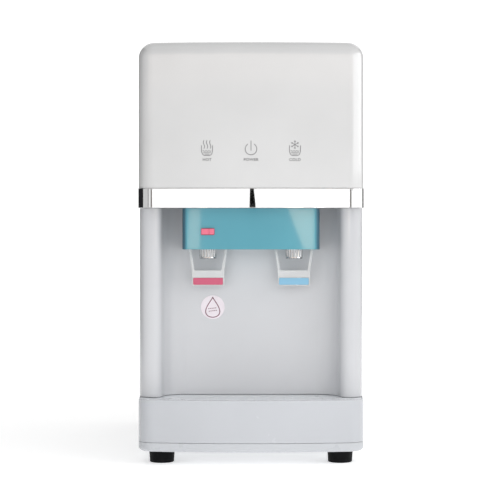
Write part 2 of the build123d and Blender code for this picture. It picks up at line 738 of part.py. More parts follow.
def solenoid_valve():
    body = block(-98.0, -62.0, 166.0, 200.0, 124.0, 156.0)
    body = fillet(body.edges().filter_by(Axis.Z), 3.0)
    body += rod_z(13.0, INLET_X, 183.0, 155.0, 186.0)
    body += rod_x(BARB_R, 182.0, INLET_Z, -101.5, -97.0)
    body -= rod_x(BARB_BORE_R, 182.0, INLET_Z, -102.5, -84.0)
    return body


def inlet_fitting():
    """Push-in bulkhead fitting for the feed tube."""
    body = rod_y(6.0, INLET_X, INLET_Z, 200.2, PANEL_REAR + 1.0)
    body += rod_y(9.5, INLET_X, INLET_Z, PANEL_REAR + 0.1, PANEL_REAR + 4.0)
    body += rod_y(7.5, INLET_X, INLET_Z, PANEL_REAR + 3.0, 232.0)
    body -= rod_y(3.25, INLET_X, INLET_Z, PANEL_REAR, 233.0)
    return body - rod_y(2.0, INLET_X, INLET_Z, 199.0, PANEL_REAR + 1.0)


def cold_water_tubes():
    """Inlet tube, tube up to the cold tank, and the cold tap's feed."""
    inlet = run(
        [
            (-98.3, 182, INLET_Z), (-113, 182, INLET_Z), (-113, 182, 211),
            (-113, FILTER_Y, 211), (-100.2, FILTER_Y, 211),
        ],
        8.0, TUBE_R, TUBE_BORE_R,
    )
    fill = run(
        [
            (100.2, FILTER_Y, 211), (113, FILTER_Y, 211), (113, FILTER_Y, 449.4),
            (113, -60, 449.4), (45, -60, 449.4), (45, -60, 424),
        ],
        8.0, TUBE_R, TUBE_BORE_R,
    )
    feed = run(
        [
            (TAP_X, -155.5, FEED_Z), (TAP_X, -130, FEED_Z), (30, -130, FEED_Z), (30, -130, 313.5),
        ],
        9.0, TUBE_R, TUBE_BORE_R,
    )
    return [inlet, fill, feed]


def hot_water_tubes():
    """Hot tap's feed, link between the tanks, and the hot tank's drain."""
    feed = run(
        [
            (-TAP_X, -155.5, FEED_Z), (-TAP_X, -133, FEED_Z), (-TAP_X, -133, 215),
            (-TAP_X, -70, 215), (-TAP_X, -70, 187),
        ],
        9.0, TUBE_R, TUBE_BORE_R,
    )
    link = run(
        [(-30, -85, 313.5), (-30, -85, 236), (-72, -45, 236), (-72, -45, 187)],
        9.0, TUBE_R, TUBE_BORE_R,
    )
    drain = run(
        [(DRAIN_X, HOT_Y, 49), (DRAIN_X, HOT_Y, DRAIN_Z), (DRAIN_X, 203, DRAIN_Z)],
        8.0, TUBE_R, TUBE_BORE_R,
    )
    return [feed, link, drain]


def drain_outlet():
    body = rod_y(6.0, DRAIN_X, DRAIN_Z, 204.0, 226.0)
    body += rod_y(9.0, DRAIN_X, DRAIN_Z, PANEL_REAR + 0.1, PANEL_REAR + 2.5)
    body += rod_y(BARB_R, DRAIN_X, DRAIN_Z, 196.0, 205.0)
    return body - rod_y(BARB_BORE_R, DRAIN_X, DRAIN_Z, 195.0, 227.0)


def drain_cap():
    cap = rod_y(8.5, DRAIN_X, DRAIN_Z, 220.8, 233.0)
    cap = chamfer(cap.faces().sort_by(Axis.Y)[-1].edges(), 1.0)
    return cap - rod_y(6.05, DRAIN_X, DRAIN_Z, 220.0, 226.3)


# ---------------------------------------------------------------- electrical side

def display_board():
    board = block(-68.0, 68.0, -224.0, -222.4, 337.0, 377.0)
    for x in (-TAP_X, 0.0, TAP_X):
        board += rod_y(2.5, x, 362.8, -227.5, -223.0)
    board += block(-12.0, 12.0, -223.0, -214.0, 342.0, 352.0)
    return board


def control_box():
    """Open plastic box on the bulkhead."""
    box = block(22.0, 118.0, -115.8, -84.0, 60.0, 200.0)
    box = fillet(box.edges().filter_by(Axis.Y), 4.0)
    return box - block(24.0, 116.0, -113.8, -80.0, 62.0, 198.0)


def main_board():
    board = block(27.0, 113.0, -110.0, -108.4, 66.0, 194.0)
    board += block(34.0, 66.0, -109.0, -86.0, 74.0, 104.0)
    for z in (115.0, 137.0, 159.0):
        board += block(34.0, 54.0, -109.0, -92.0, z, z + 16.0)
    for z in (80.0, 100.0, 120.0):
        board += rod_y(7.0, 90.0, z, -109.0, -88.0)
    for x in (72.0, 92.0):
        board += block(x, x + 14.0, -109.0, -98.0, 172.0, 186.0)
    standoffs = [
        rod_y(3.0, x, z, -113.7, -109.5) for x in (31.0, 109.0) for z in (70.0, 190.0)
    ]
    return board + standoffs


def mains_inlet():
    """Recessed three-pin inlet socket."""
    x, z = SOCKET_X, SOCKET_Z
    body = block(x - 13.5, x + 13.5, 196.0, PANEL_REAR + 1.0, z - 10.0, z + 10.0)
    flange = block(x - 16.0, x + 16.0, PANEL_REAR + 0.1, PANEL_REAR + 3.0, z - 13.0, z + 13.0)
    flange = fillet(flange.edges().filter_by(Axis.Y), 3.0)
    body += flange
    body -= block(x - 12.0, x + 12.0, 201.0, PANEL_REAR + 4.0, z - 8.2, z + 8.2)
    for dx, dz in ((-7.0, 2.0), (0.0, -2.0), (7.0, 2.0)):
        body += block(x + dx - 1.0, x + dx + 1.0, 200.0, 214.0, z + dz - 2.0, z + dz + 2.0)
    return body


def switch_bezels():
    """Bodies of the two rear rocker switches."""
    solids = []
    for x in SWITCH_XS:
        z = SWITCH_Z
        body = block(x - 6.5, x + 6.5, 199.0, PANEL_REAR + 1.0, z - 10.5, z + 10.5)
        flange = block(x - 7.8, x + 7.8, PANEL_REAR + 0.1, PANEL_REAR + 1.8, z - 12.5, z + 12.5)
        body += fillet(flange.edges().filter_by(Axis.Y), 1.5)
        body -= block(x - 5.3, x + 5.3, 207.0, PANEL_REAR + 3.0, z - 8.9, z + 8.9)
        body -= rod_x(1.25, 215.0, z, x - 6.2, x + 6.2)
        solids.append(body)
    return solids


def rocker(x):
    """Two-faced rocker key on side pins, stored tipped to its off position."""
    plane = Plane(origin=(x - 5.0, 0, 0), x_dir=(0, 1, 0), z_dir=(1, 0, 0))
    profile = make_face(
        Polyline((-3.0, -6.5), (4.6, -7.8), (3.2, 0.0), (4.6, 7.8), (-3.0, 6.5), close=True)
    )
    key = extrude(plane * Pos(215.0, SWITCH_Z) * Rot(0, 0, -8) * profile, amount=10.0)
    return key + rod_x(1.2, 215.0, SWITCH_Z, x - 6.1, x + 6.1)


def rear_screws():
    solids = []
    for x, z in SCREW_SPOTS:
        head = rod_y(3.6, x, z, PANEL_REAR + 0.05, PANEL_REAR + 2.4)
        head = fillet(head.faces().sort_by(Axis.Y)[-1].edges(), 1.0)
        head -= block(x - 0.5, x + 0.5, PANEL_REAR + 1.4, PANEL_REAR + 3, z - 2.2, z + 2.2)
        head -= block(x - 2.2, x + 2.2, PANEL_REAR + 1.4, PANEL_REAR + 3, z - 0.5, z + 0.5)
        solids.append(head + rod_y(1.85, x, z, PANEL_REAR - 7.0, PANEL_REAR + 0.5))
    return solids


# ---------------------------------------------------------------- output

SINGLE = {
    "head_cover": head_cover,
    "chrome_trim": chrome_trim,
    "front_panel": front_panel,
    "faucet_cover": faucet_cover,
    "top_cover": top_cover,
    "side_panel_left": lambda: side_panel(-1),
    "side_panel_right": lambda: side_panel(1),
    "rear_panel": rear_panel,
    "inner_frame": inner_frame,
    "base_pan": base_pan,
    "drip_tray": drip_tray,
    "tray_deck": tray_deck,
    "drip_grille": drip_grille,
    "safety_slider": safety_slider,
    "guide_sticker": guide_sticker,
    "cold_tank": cold_tank,
    "tank_lid": tank_lid,
    "level_float": level_float,
    "evaporator_coil": evaporator_coil,
    "compressor": compressor,
    "hot_tank": hot_tank,
    "heater_band": heater_band,
    "manifold": manifold,
    "solenoid_valve": solenoid_valve,
    "inlet_fitting": inlet_fitting,
    "drain_outlet": drain_outlet,
    "drain_cap": drain_cap,
    "display_board": display_board,
    "control_box": control_box,
    "main_board": main_board,
    "mains_inlet": mains_inlet,
}
GROUPS = {
    "feet": feet,
    "lever_pins": lever_pins,
    "cold_insulation": cold_insulation,
    "compressor_mounts": compressor_mounts,
    "refrigerant_pipes": refrigerant_pipes,
    "condenser": condenser,
    "cold_water_tubes": cold_water_tubes,
    "hot_water_tubes": hot_water_tubes,
    "switch_bezels": switch_bezels,
    "rear_screws": rear_screws,
}
TAP_PARTS = {
    "tap_body": tap_body,
    "nozzle": nozzle,
    "lever": lever,
    "lever_strip": lever_strip,
    "valve_stem": valve_stem,
    "valve_seal": valve_seal,
    "valve_spring": valve_spring,
}

for name, make in SINGLE.items():
    save(name, make())
for name, make in GROUPS.items():
    save(name, Compound(make()))
for name, make in TAP_PARTS.items():
    save(f"hot_{name}", make(-TAP_X))
    save(f"cold_{name}", make(TAP_X))
for index, x in enumerate(FILTER_XS, start=1):
    save(f"filter_{index}", filter_cartridge(x))
save("hot_rocker", rocker(SWITCH_XS[0]))
save("cold_rocker", rocker(SWITCH_XS[1]))
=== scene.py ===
import json
import math

import bmesh
import bpy
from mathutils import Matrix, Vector


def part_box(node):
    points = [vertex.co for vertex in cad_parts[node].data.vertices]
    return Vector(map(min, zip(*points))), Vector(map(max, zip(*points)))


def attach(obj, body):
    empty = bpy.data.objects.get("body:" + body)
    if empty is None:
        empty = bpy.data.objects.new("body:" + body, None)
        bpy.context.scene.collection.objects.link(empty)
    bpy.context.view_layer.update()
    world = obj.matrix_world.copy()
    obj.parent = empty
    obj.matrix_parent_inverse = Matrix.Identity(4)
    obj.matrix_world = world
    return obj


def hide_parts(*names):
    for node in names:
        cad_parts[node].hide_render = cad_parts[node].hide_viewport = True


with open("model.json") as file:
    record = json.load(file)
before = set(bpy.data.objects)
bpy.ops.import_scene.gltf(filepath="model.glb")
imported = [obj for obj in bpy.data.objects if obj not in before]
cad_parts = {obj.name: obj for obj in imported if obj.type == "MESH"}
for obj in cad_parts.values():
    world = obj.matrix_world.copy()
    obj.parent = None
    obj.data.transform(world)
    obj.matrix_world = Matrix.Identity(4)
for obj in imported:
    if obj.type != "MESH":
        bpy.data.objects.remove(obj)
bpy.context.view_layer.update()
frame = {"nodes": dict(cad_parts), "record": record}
NODES = frame["nodes"]
SCENE = bpy.context.scene

# ------------------------------------------------------------------ camera

VIEW_DISTANCE = 2.05
EYE_HEIGHT = 0.2923
SENSOR_WIDTH = 36.0
FOCAL_LENGTH = 129.9
SHIFT_X, SHIFT_Y = -0.002, -0.08
VIEW_LIMIT = 50.0
FRONT_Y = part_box("chrome_trim")[0].y

camera_data = bpy.data.cameras.new("camera")
camera_data.sensor_width = SENSOR_WIDTH
camera_data.lens = FOCAL_LENGTH
camera_data.shift_x = SHIFT_X
camera_data.shift_y = SHIFT_Y
camera_data.clip_end = VIEW_LIMIT
camera = bpy.data.objects.new("camera", camera_data)
camera.location = (0.0, FRONT_Y - VIEW_DISTANCE, EYE_HEIGHT)
camera.rotation_euler = (math.radians(90), 0, 0)
SCENE.collection.objects.link(camera)
SCENE.camera = camera
SCENE.view_settings.view_transform = "Standard"


# ------------------------------------------------------------------ node helpers

class Graph:
    """Short way to add nodes to a material and join them."""

    def __init__(self, name):
        self.material = bpy.data.materials.new(name)
        self.material.use_nodes = True
        self.tree = self.material.node_tree
        self.shader = self.tree.nodes["Principled BSDF"]

    def add(self, kind, **values):
        node = self.tree.nodes.new(kind)
        for key, value in values.items():
            setattr(node, key, value)
        return node

    def join(self, source, target):
        self.tree.links.new(source, target)

    def math(self, operation, a, b=None, clamp=False):
        node = self.add("ShaderNodeMath", operation=operation, use_clamp=clamp)
        for index, value in enumerate((a, b)):
            if value is None:
                continue
            if isinstance(value, (int, float)):
                node.inputs[index].default_value = value
            else:
                self.join(value, node.inputs[index])
        return node.outputs[0]

    def remap(self, source, low, high, to_low, to_high):
        node = self.add("ShaderNodeMapRange")
        self.join(source, node.inputs[0])
        for index, value in enumerate((low, high, to_low, to_high), start=1):
            node.inputs[index].default_value = value
        return node.outputs[0]

    def noise(self, scale, detail=3.0, stretch=(1, 1, 1), distortion=0.0):
        coords = self.add("ShaderNodeTexCoord")
        mapping = self.add("ShaderNodeMapping")
        mapping.inputs["Scale"].default_value = stretch
        self.join(coords.outputs["Object"], mapping.inputs["Vector"])
        node = self.add("ShaderNodeTexNoise")
        node.inputs["Scale"].default_value = scale
        node.inputs["Detail"].default_value = detail
        node.inputs["Distortion"].default_value = distortion
        self.join(mapping.outputs[0], node.inputs["Vector"])
        return node.outputs["Fac"]

    def mix(self, factor, a, b):
        node = self.add("ShaderNodeMix", data_type="RGBA")
        self.join(factor, node.inputs["Factor"])
        for socket, value in ((node.inputs["A"], a), (node.inputs["B"], b)):
            if isinstance(value, tuple):
                socket.default_value = (*value, 1.0)
            else:
                self.join(value, socket)
        return node.outputs["Result"]


NOISE_SPAN = (0.3, 0.7)
SPECK_SPAN = (0.62, 0.72)
SIDE_SHADE_SPAN = (0.10, 0.55)
RIM_SPAN = (0.80, 0.99)
BEVEL_SAMPLES = 4
WEAR_SCALE = 60.0
WEAR_LIGHTENS = 1.12
WEAR_ROUGHENS = 0.2
WIPE_TO_GRAIN = 0.12
WIPE_TO_SMUDGE = 0.4
LEAST_ROUGH = 0.02
GRAIN_HEIGHT = 0.0002


def scaled(color, factor):
    return tuple(min(1.0, channel * factor) for channel in color)


def surface(
    name, color, rough, metallic=0.0, coat=0.0, coat_rough=0.04, mottle=0.03, mottle_scale=9.0,
    smudge=0.06, smudge_scale=14.0, grain=0.05, grain_scale=700.0, stretch=(1, 1, 1),
    edge=0.0006, edge_wear_or_light=0.25, wear_or_edge_light_color=None, transmission=0.0, ior=1.49, specular=0.5,
    speck=None, painted_side_shade=None,
):
    """Moulded, painted or metal finish: mottled colour, uneven gloss, fine relief, tinted edges (rubbing
    on most finishes; painted edge shade, reflection or highlight on the chrome trim, faucet cover, levers
    and safety slider).

    speck is (noise scale, colour) of small dots; the side colour is painted shade, tinted onto faces
    turned sideways.
    """
    g = Graph(name)
    s = g.shader
    s.inputs["Metallic"].default_value = metallic
    s.inputs["Coat Weight"].default_value = coat
    s.inputs["Coat Roughness"].default_value = coat_rough
    s.inputs["Transmission Weight"].default_value = transmission
    s.inputs["IOR"].default_value = ior
    s.inputs["Specular IOR Level"].default_value = specular

    tone = g.remap(g.noise(mottle_scale, 5.0), *NOISE_SPAN, 0.0, 1.0)
    tinted = g.mix(tone, scaled(color, 1 - mottle), scaled(color, 1 + mottle))
    if speck:
        speck_scale, speck_color = speck
        dots = g.remap(g.noise(speck_scale, 2.0), *SPECK_SPAN, 0.0, 1.0)
        tinted = g.mix(dots, tinted, speck_color)

    geometry = g.add("ShaderNodeNewGeometry")
    # Painted shade: faces turned sideways are tinted towards the darker side colour.
    if painted_side_shade:
        sideways = g.add("ShaderNodeSeparateXYZ")
        g.join(geometry.outputs["Normal"], sideways.inputs[0])
        turned = g.remap(g.math("ABSOLUTE", sideways.outputs["X"]), *SIDE_SHADE_SPAN, 0.0, 1.0)
        tinted = g.mix(turned, tinted, painted_side_shade)
    bevel = g.add("ShaderNodeBevel", samples=BEVEL_SAMPLES)
    bevel.inputs["Radius"].default_value = edge
    dot = g.add("ShaderNodeVectorMath", operation="DOT_PRODUCT")
    g.join(bevel.outputs[0], dot.inputs[0])
    g.join(geometry.outputs["Normal"], dot.inputs[1])
    rim = g.remap(dot.outputs["Value"], *RIM_SPAN, 1.0, 0.0)
    patchy = g.remap(g.noise(WEAR_SCALE, 4.0), 0.40, 0.70, 0.2, 1.0)
    wear_or_edge_light_mask = g.math("MULTIPLY", g.math("MULTIPLY", rim, patchy), edge_wear_or_light, clamp=True)
    # Edge tint: rubbing on most finishes; on the chrome trim, faucet cover, levers and safety slider the
    # given edge colour is painted shade, reflection or highlight.
    wear_or_edge_light_tint = wear_or_edge_light_color if wear_or_edge_light_color else scaled(color, WEAR_LIGHTENS)
    g.join(g.mix(wear_or_edge_light_mask, tinted, wear_or_edge_light_tint), s.inputs["Base Color"])

    smears = g.noise(smudge_scale, 6.0, distortion=0.4)
    film = g.remap(smears, *NOISE_SPAN, rough - smudge, rough + smudge)
    strokes = g.noise(grain_scale * WIPE_TO_GRAIN, 2.0, stretch)
    wipe = smudge * WIPE_TO_SMUDGE
    wiped = g.remap(strokes, *NOISE_SPAN, -wipe, wipe)
    total = g.math("ADD", g.math("ADD", film, wiped), g.math("MULTIPLY", wear_or_edge_light_mask, WEAR_ROUGHENS))
    g.join(g.math("MAXIMUM", total, LEAST_ROUGH, clamp=True), s.inputs["Roughness"])

    bump = g.add("ShaderNodeBump")
    bump.inputs["Strength"].default_value = grain
    bump.inputs["Distance"].default_value = GRAIN_HEIGHT
    g.join(g.noise(grain_scale, 3.0, stretch), bump.inputs["Height"])
    g.join(bevel.outputs[0], bump.inputs["Normal"])
    g.join(bump.outputs[0], s.inputs["Normal"])
    return g.material


WHITE = (0.650, 0.649, 0.649)
MATERIALS = {
    "head_white": surface("head_white", WHITE, 0.16, coat=0.5, grain=0.02, grain_scale=260.0, smudge=0.04),
    "panel_white": surface("panel_white", (0.570, 0.576, 0.595), 0.20, coat=0.4, grain=0.03, smudge=0.05),
    "lid_white": surface("lid_white", WHITE, 0.18, coat=0.4, grain=0.02, grain_scale=260.0),
    "tray_white": surface("tray_white", (0.500, 0.514, 0.542), 0.20, coat=0.35, grain=0.03, edge_wear_or_light=0.0),
    "grille_white": surface("grille_white", (0.84, 0.86, 0.89), 0.32, grain=0.06),
    "pan_white": surface("pan_white", (0.525, 0.54, 0.565), 0.30, grain=0.04, edge_wear_or_light=0.0),
    "side_paint": surface(
        "side_paint", (0.565, 0.568, 0.575), 0.34, grain=0.22, grain_scale=520.0, smudge=0.05
    ),
    "rear_steel": surface(
        "rear_steel", (0.52, 0.53, 0.54), 0.42, metallic=0.85, mottle=0.09, mottle_scale=70.0,
        grain=0.08, smudge=0.10,
    ),
    "frame_steel": surface(
        "frame_steel", (0.52, 0.53, 0.54), 0.42, metallic=0.85, mottle=0.16, mottle_scale=70.0
    ),
    # Painted dark reflection: the chrome's dark edge colour stands in for the dark lines the trim edges
    # mirror.
    "trim_chrome": surface(
        "trim_chrome", (0.80, 0.80, 0.80), 0.018, metallic=1.0, mottle=0.01, smudge=0.003,
        grain=0.004, edge_wear_or_light=1.0, wear_or_edge_light_color=(0.16, 0.15, 0.14), edge=0.0006,
    ),
    # Painted highlight: the pale cyan edge colour; painted shade: the darker navy tint on faces turned
    # sideways.
    "teal_metallic": surface(
        "teal_metallic", (0.076, 0.310, 0.392), 0.32, metallic=0.12, coat=1.0, coat_rough=0.075,
        grain=0.012, grain_scale=1800.0, mottle=0.03, mottle_scale=14.0, smudge=0.04,
        edge_wear_or_light=0.3, wear_or_edge_light_color=(0.30, 0.62, 0.70), edge=0.0005, specular=0.3,
        painted_side_shade=(0.012, 0.09, 0.14),
    ),
    # Painted highlight: the near-white edge colour brightens the lever edges.
    "lever_white": surface(
        "lever_white", (0.86, 0.865, 0.87), 0.16, transmission=0.45, coat=0.8, grain=0.03,
        edge_wear_or_light=0.9, wear_or_edge_light_color=(0.97, 0.98, 0.98), edge=0.0009,
    ),
    "hot_red": surface("hot_red", (0.56, 0.09, 0.17), 0.22, coat=0.4, edge_wear_or_light=0.3, edge=0.0009),
    "cold_blue": surface("cold_blue", (0.215, 0.46, 0.64), 0.22, coat=0.4, edge_wear_or_light=0.3, edge=0.0009),
    # Painted shade: the dark maroon edge colour stands in for the shaded gap round the slider button.
    "slider_red": surface(
        "slider_red", (0.80, 0.16, 0.25), 0.25, coat=0.4, edge_wear_or_light=1.0, wear_or_edge_light_color=(0.30, 0.02, 0.06),
        edge=0.0010,
    ),
    "nozzle_clear": surface(
        "nozzle_clear", (0.42, 0.43, 0.44), 0.10, metallic=0.9, coat=0.6, grain=0.03, edge_wear_or_light=0.4
    ),
    "sticker": surface(
        "sticker", (0.76, 0.70, 0.745), 0.38, grain=0.05, mottle=0.05, mottle_scale=80.0, edge=0.0003
    ),
    "black_rubber": surface(
        "black_rubber", (0.004, 0.004, 0.005), 0.50, grain=0.2, grain_scale=900.0, specular=0.10,
        edge_wear_or_light=0.4, wear_or_edge_light_color=(0.04, 0.04, 0.04), speck=(900.0, (0.014, 0.014, 0.014)),
    ),
    "seal_rubber": surface("seal_rubber", (0.72, 0.72, 0.69), 0.5, grain=0.1),
    "tap_plastic": surface("tap_plastic", (0.80, 0.80, 0.78), 0.38, grain=0.08),
    "stainless": surface(
        "stainless", (0.60, 0.60, 0.61), 0.28, metallic=1.0, grain=0.10, stretch=(1, 1, 14),
        mottle=0.05, smudge=0.07,
    ),
    "spring_steel": surface("spring_steel", (0.50, 0.51, 0.53), 0.30, metallic=1.0, grain=0.06),
    "foam": surface(
        "foam", (0.84, 0.84, 0.82), 0.85, grain=0.6, grain_scale=330.0, mottle=0.06,
        mottle_scale=300.0,
    ),
    "copper": surface(
        "copper", (0.74, 0.38, 0.24), 0.30, metallic=1.0, mottle=0.18, mottle_scale=40.0,
        smudge=0.10, wear_or_edge_light_color=(0.9, 0.6, 0.45),
    ),
    "compressor_black": surface(
        "compressor_black", (0.012, 0.012, 0.013), 0.30, coat=0.5, grain=0.12, grain_scale=420.0,
        wear_or_edge_light_color=(0.10, 0.10, 0.10),
    ),
    "condenser_black": surface(
        "condenser_black", (0.016, 0.016, 0.018), 0.38, coat=0.3, grain=0.2, grain_scale=500.0,
        wear_or_edge_light_color=(0.12, 0.12, 0.12),
    ),
    "band_steel": surface("band_steel", (0.42, 0.41, 0.40), 0.45, metallic=0.9, mottle=0.15),
    "float_plastic": surface("float_plastic", (0.80, 0.30, 0.04), 0.45, grain=0.1),
    "filter_white": surface("filter_white", (0.80, 0.82, 0.84), 0.34, grain=0.05),
    "manifold_grey": surface("manifold_grey", (0.27, 0.29, 0.32), 0.45, grain=0.15),
    "valve_plastic": surface("valve_plastic", (0.80, 0.80, 0.78), 0.36, grain=0.08),
    "tube_white": surface("tube_white", (0.82, 0.84, 0.86), 0.35, transmission=0.25, grain=0.04),
    "tube_silicone": surface("tube_silicone", (0.78, 0.75, 0.70), 0.42, transmission=0.2, grain=0.05),
    "black_plastic": surface(
        "black_plastic", (0.022, 0.022, 0.024), 0.42, grain=0.25, grain_scale=800.0,
        wear_or_edge_light_color=(0.10, 0.10, 0.10),
    ),
    "board_green": surface(
        "board_green", (0.02, 0.16, 0.07), 0.35, coat=0.3, speck=(420.0, (0.45, 0.36, 0.12))
    ),
    "box_grey": surface("box_grey", (0.40, 0.41, 0.42), 0.45, grain=0.15),
    "rocker_red": surface("rocker_red", (0.60, 0.02, 0.02), 0.24, coat=0.4),
    "rocker_green": surface("rocker_green", (0.02, 0.36, 0.08), 0.24, coat=0.4),
}
FINE_EDGE = 0.0001
PRINT_GREY = surface("print_grey", (0.20, 0.20, 0.205), 0.5, grain=0.1, edge=FINE_EDGE, edge_wear_or_light=0.0)
# Painted shade: dark line colour for the gap round the safety slider.
SLIDER_GAP_SHADE = surface(
    "slider_gap_shade_dark", (0.33, 0.03, 0.07), 0.35, grain=0.05, edge=FINE_EDGE, edge_wear_or_light=0.0
)
PRINT_PLUM = surface("print_plum", (0.17, 0.045, 0.085), 0.5, grain=0.1, edge=FINE_EDGE, edge_wear_or_light=0.0)
FILTER_BAND = surface("filter_band", (0.10, 0.34, 0.50), 0.35, grain=0.04, edge=0.0002)
# Painted shade: dark sheet colour for the shaded seam between the lower front panel and the tray.
SEAM_SHADE_DARK = surface("seam_shade_dark", (0.06, 0.065, 0.08), 0.8, grain=0.2, edge=FINE_EDGE, edge_wear_or_light=0.0)
COLLET_GREY = surface("collet_grey", (0.30, 0.33, 0.37), 0.4, grain=0.08)

SLOT_OF = {part["node"]: part["material_slot"] for part in frame["record"]["subparts"]}
SMOOTH_ANGLE = math.radians(32)
for name, node in NODES.items():
    node.data.materials.clear()
    node.data.materials.append(MATERIALS[SLOT_OF[name]])
    node.data.shade_smooth()
    node.data.set_sharp_from_angle(angle=SMOOTH_ANGLE)


# ------------------------------------------------------------------ mesh helpers

def add_piece(name, bm, material, body, smooth=True):
    mesh = bpy.data.meshes.new(name)
    bmesh.ops.recalc_face_normals(bm, faces=bm.faces)
    bm.to_mesh(mesh)
    bm.free()
    mesh.materials.append(material)
    if smooth:
        mesh.shade_smooth()
        mesh.set_sharp_from_angle(angle=SMOOTH_ANGLE)
    piece = bpy.data.objects.new(name, mesh)
    SCENE.collection.objects.link(piece)
    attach(piece, body)
    return piece


def lathe(bm, profile, place, segments=96, flutes=0, depth=0.0, fluted=()):
    """Closed body of revolution. profile is a loop of (radius, height); the numbers in fluted
    are the profile points that carry flutes."""
    rings = []
    for index, (radius, height) in enumerate(profile):
        ring = []
        for step in range(segments):
            angle = 2 * math.pi * step / segments
            r = radius
            if index in fluted:
                r -= depth * (0.5 + 0.5 * math.cos(flutes * angle)) ** 2
            ring.append(bm.verts.new(place(r * math.cos(angle), r * math.sin(angle), height)))
        rings.append(ring)
    for index in range(len(rings)):
        low, high = rings[index], rings[(index + 1) % len(rings)]
        for step in range(segments):
            after = (step + 1) % segments
            bm.faces.new((low[step], low[after], high[after], high[step]))


def ribbon(bm, points, width, place, closed=False):
    """Thin raised stroke along 2-D points."""
    count = len(points)
    sides = []
    for index, point in enumerate(points):
        before = points[index - 1] if closed or index else point
        after = points[(index + 1) % count] if closed or index < count - 1 else point
        along = Vector((after[0] - before[0], after[1] - before[1])).normalized()
        across = Vector((-along.y, along.x)) * width / 2
        corners = []
        for sign, lift in ((1, 0), (1, 1), (-1, 1), (-1, 0)):
            x, z = point[0] + sign * across.x, point[1] + sign * across.y
            corners.append(bm.verts.new(place(x, z, lift)))
        sides.append(corners)
    spans = count if closed else count - 1
    for index in range(spans):
        a, b = sides[index], sides[(index + 1) % count]
        for k in range(4):
            bm.faces.new((a[k], a[(k + 1) % 4], b[(k + 1) % 4], b[k]))
    if not closed:
        bm.faces.new(sides[0])
        bm.faces.new(reversed(sides[-1]))


def arc_points(cx, cz, radius, start, end, steps=28):
    return [
        (cx + radius * math.cos(a), cz + radius * math.sin(a))
        for a in (math.radians(start + (end - start) * k / steps) for k in range(steps + 1))
    ]


# ------------------------------------------------------------------ marks on the head

HEAD_LOW, HEAD_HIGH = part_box("head_cover")
HALF_WIDTH = HEAD_HIGH.x
BOW = 0.011
BOW_RADIUS = (HALF_WIDTH ** 2 + BOW ** 2) / (2 * BOW)
PRINT_THICKNESS = 0.00012
ICON_Z = 0.3628
PRINT_GAP = 0.00002
ICON_STROKE = 0.0008
FINE_STROKE = ICON_STROKE * 0.8
HAIR_STROKE = ICON_STROKE * 0.7
TAP_X = 0.05


def on_head(cx, cz):
    """Places a flat mark on the bowed front of the head."""
    def place(x, z, lift):
        px = cx + x
        y = HEAD_LOW.y + px * px / (2 * BOW_RADIUS) - PRINT_GAP - lift * PRINT_THICKNESS
        return (px, y, cz + z)
    return place


CUP_HALF = [(0.0063, 0.0030), (0.0063, -0.0040), (0.0050, -0.0072), (0.0030, -0.0086)]
LIQUID_HALF_WIDTH = 0.0050
LIQUID_Z = -0.0034
LIQUID_RIPPLE = 0.0004
LIQUID_STEPS = 20
LIQUID_LINES = ((0.0044, -0.0054), (0.0028, -0.0070))


def cup(bm, place):
    """Cup outline with a rippled liquid line and two straight ones below it."""
    ribbon(bm, [(-x, z) for x, z in CUP_HALF] + list(reversed(CUP_HALF)), ICON_STROKE, place)
    level = [
        (LIQUID_HALF_WIDTH * (2 * k / LIQUID_STEPS - 1), LIQUID_Z + LIQUID_RIPPLE * math.sin(k))
        for k in range(LIQUID_STEPS + 1)
    ]
    ribbon(bm, level, FINE_STROKE, place)
    for half, z in LIQUID_LINES:
        ribbon(bm, [(-half, z), (half, z)], FINE_STROKE, place)


STEAM_PITCH = 0.0036
STEAM_SWAY = 0.0007
STEAM_FOOT = -0.0006
STEAM_HEIGHT = 0.0094
STEAM_STEPS = 12
STEAM_TURN = 0.52


def hot_mark(bm, place):
    cup(bm, place)
    for x in (-STEAM_PITCH, 0.0, STEAM_PITCH):
        wave = [
            (x + STEAM_SWAY * math.sin(k * STEAM_TURN), STEAM_FOOT + STEAM_HEIGHT * k / STEAM_STEPS)
            for k in range(STEAM_STEPS + 1)
        ]
        ribbon(bm, wave, ICON_STROKE, place)


FLAKE_Z = 0.0038
FLAKE_ARM = 0.0050
BARB_START = 0.0032
BARB_LENGTH = 0.0013
BARB_TURN = 0.9


def cold_mark(bm, place):
    cup(bm, place)
    for k in range(3):
        a = math.radians(90 + 60 * k)
        dx, dz = FLAKE_ARM * math.cos(a), FLAKE_ARM * math.sin(a)
        ribbon(bm, [(-dx, FLAKE_Z - dz), (dx, FLAKE_Z + dz)], FINE_STROKE, place)
    for k in range(6):
        a = math.radians(90 + 60 * k)
        px, pz = BARB_START * math.cos(a), FLAKE_Z + BARB_START * math.sin(a)
        for turn in (-BARB_TURN, BARB_TURN):
            tip = (px + BARB_LENGTH * math.cos(a + turn), pz + BARB_LENGTH * math.sin(a + turn))
            ribbon(bm, [(px, pz), tip], HAIR_STROKE, place)


POWER_CENTER_Z = -0.0012
POWER_RADIUS = 0.0066
POWER_ARC = (122, 418)
POWER_LINE = (-0.0030, 0.0084)


def power_mark(bm, place):
    ribbon(bm, arc_points(0, POWER_CENTER_Z, POWER_RADIUS, *POWER_ARC), ICON_STROKE, place)
    ribbon(bm, [(0, z) for z in POWER_LINE], ICON_STROKE, place)


for name, draw, x in (
    ("mark_hot", hot_mark, -TAP_X), ("mark_power", power_mark, 0.0), ("mark_cold", cold_mark, TAP_X),
):
    bm = bmesh.new()
    draw(bm, on_head(x, ICON_Z))
    add_piece(name, bm, PRINT_GREY, "housing", smooth=False)

LABEL_SIZE = 0.0045
LABEL_Z = 0.3481
LABEL_BOLDNESS = 0.00009
LABEL_SPACING = 1.12


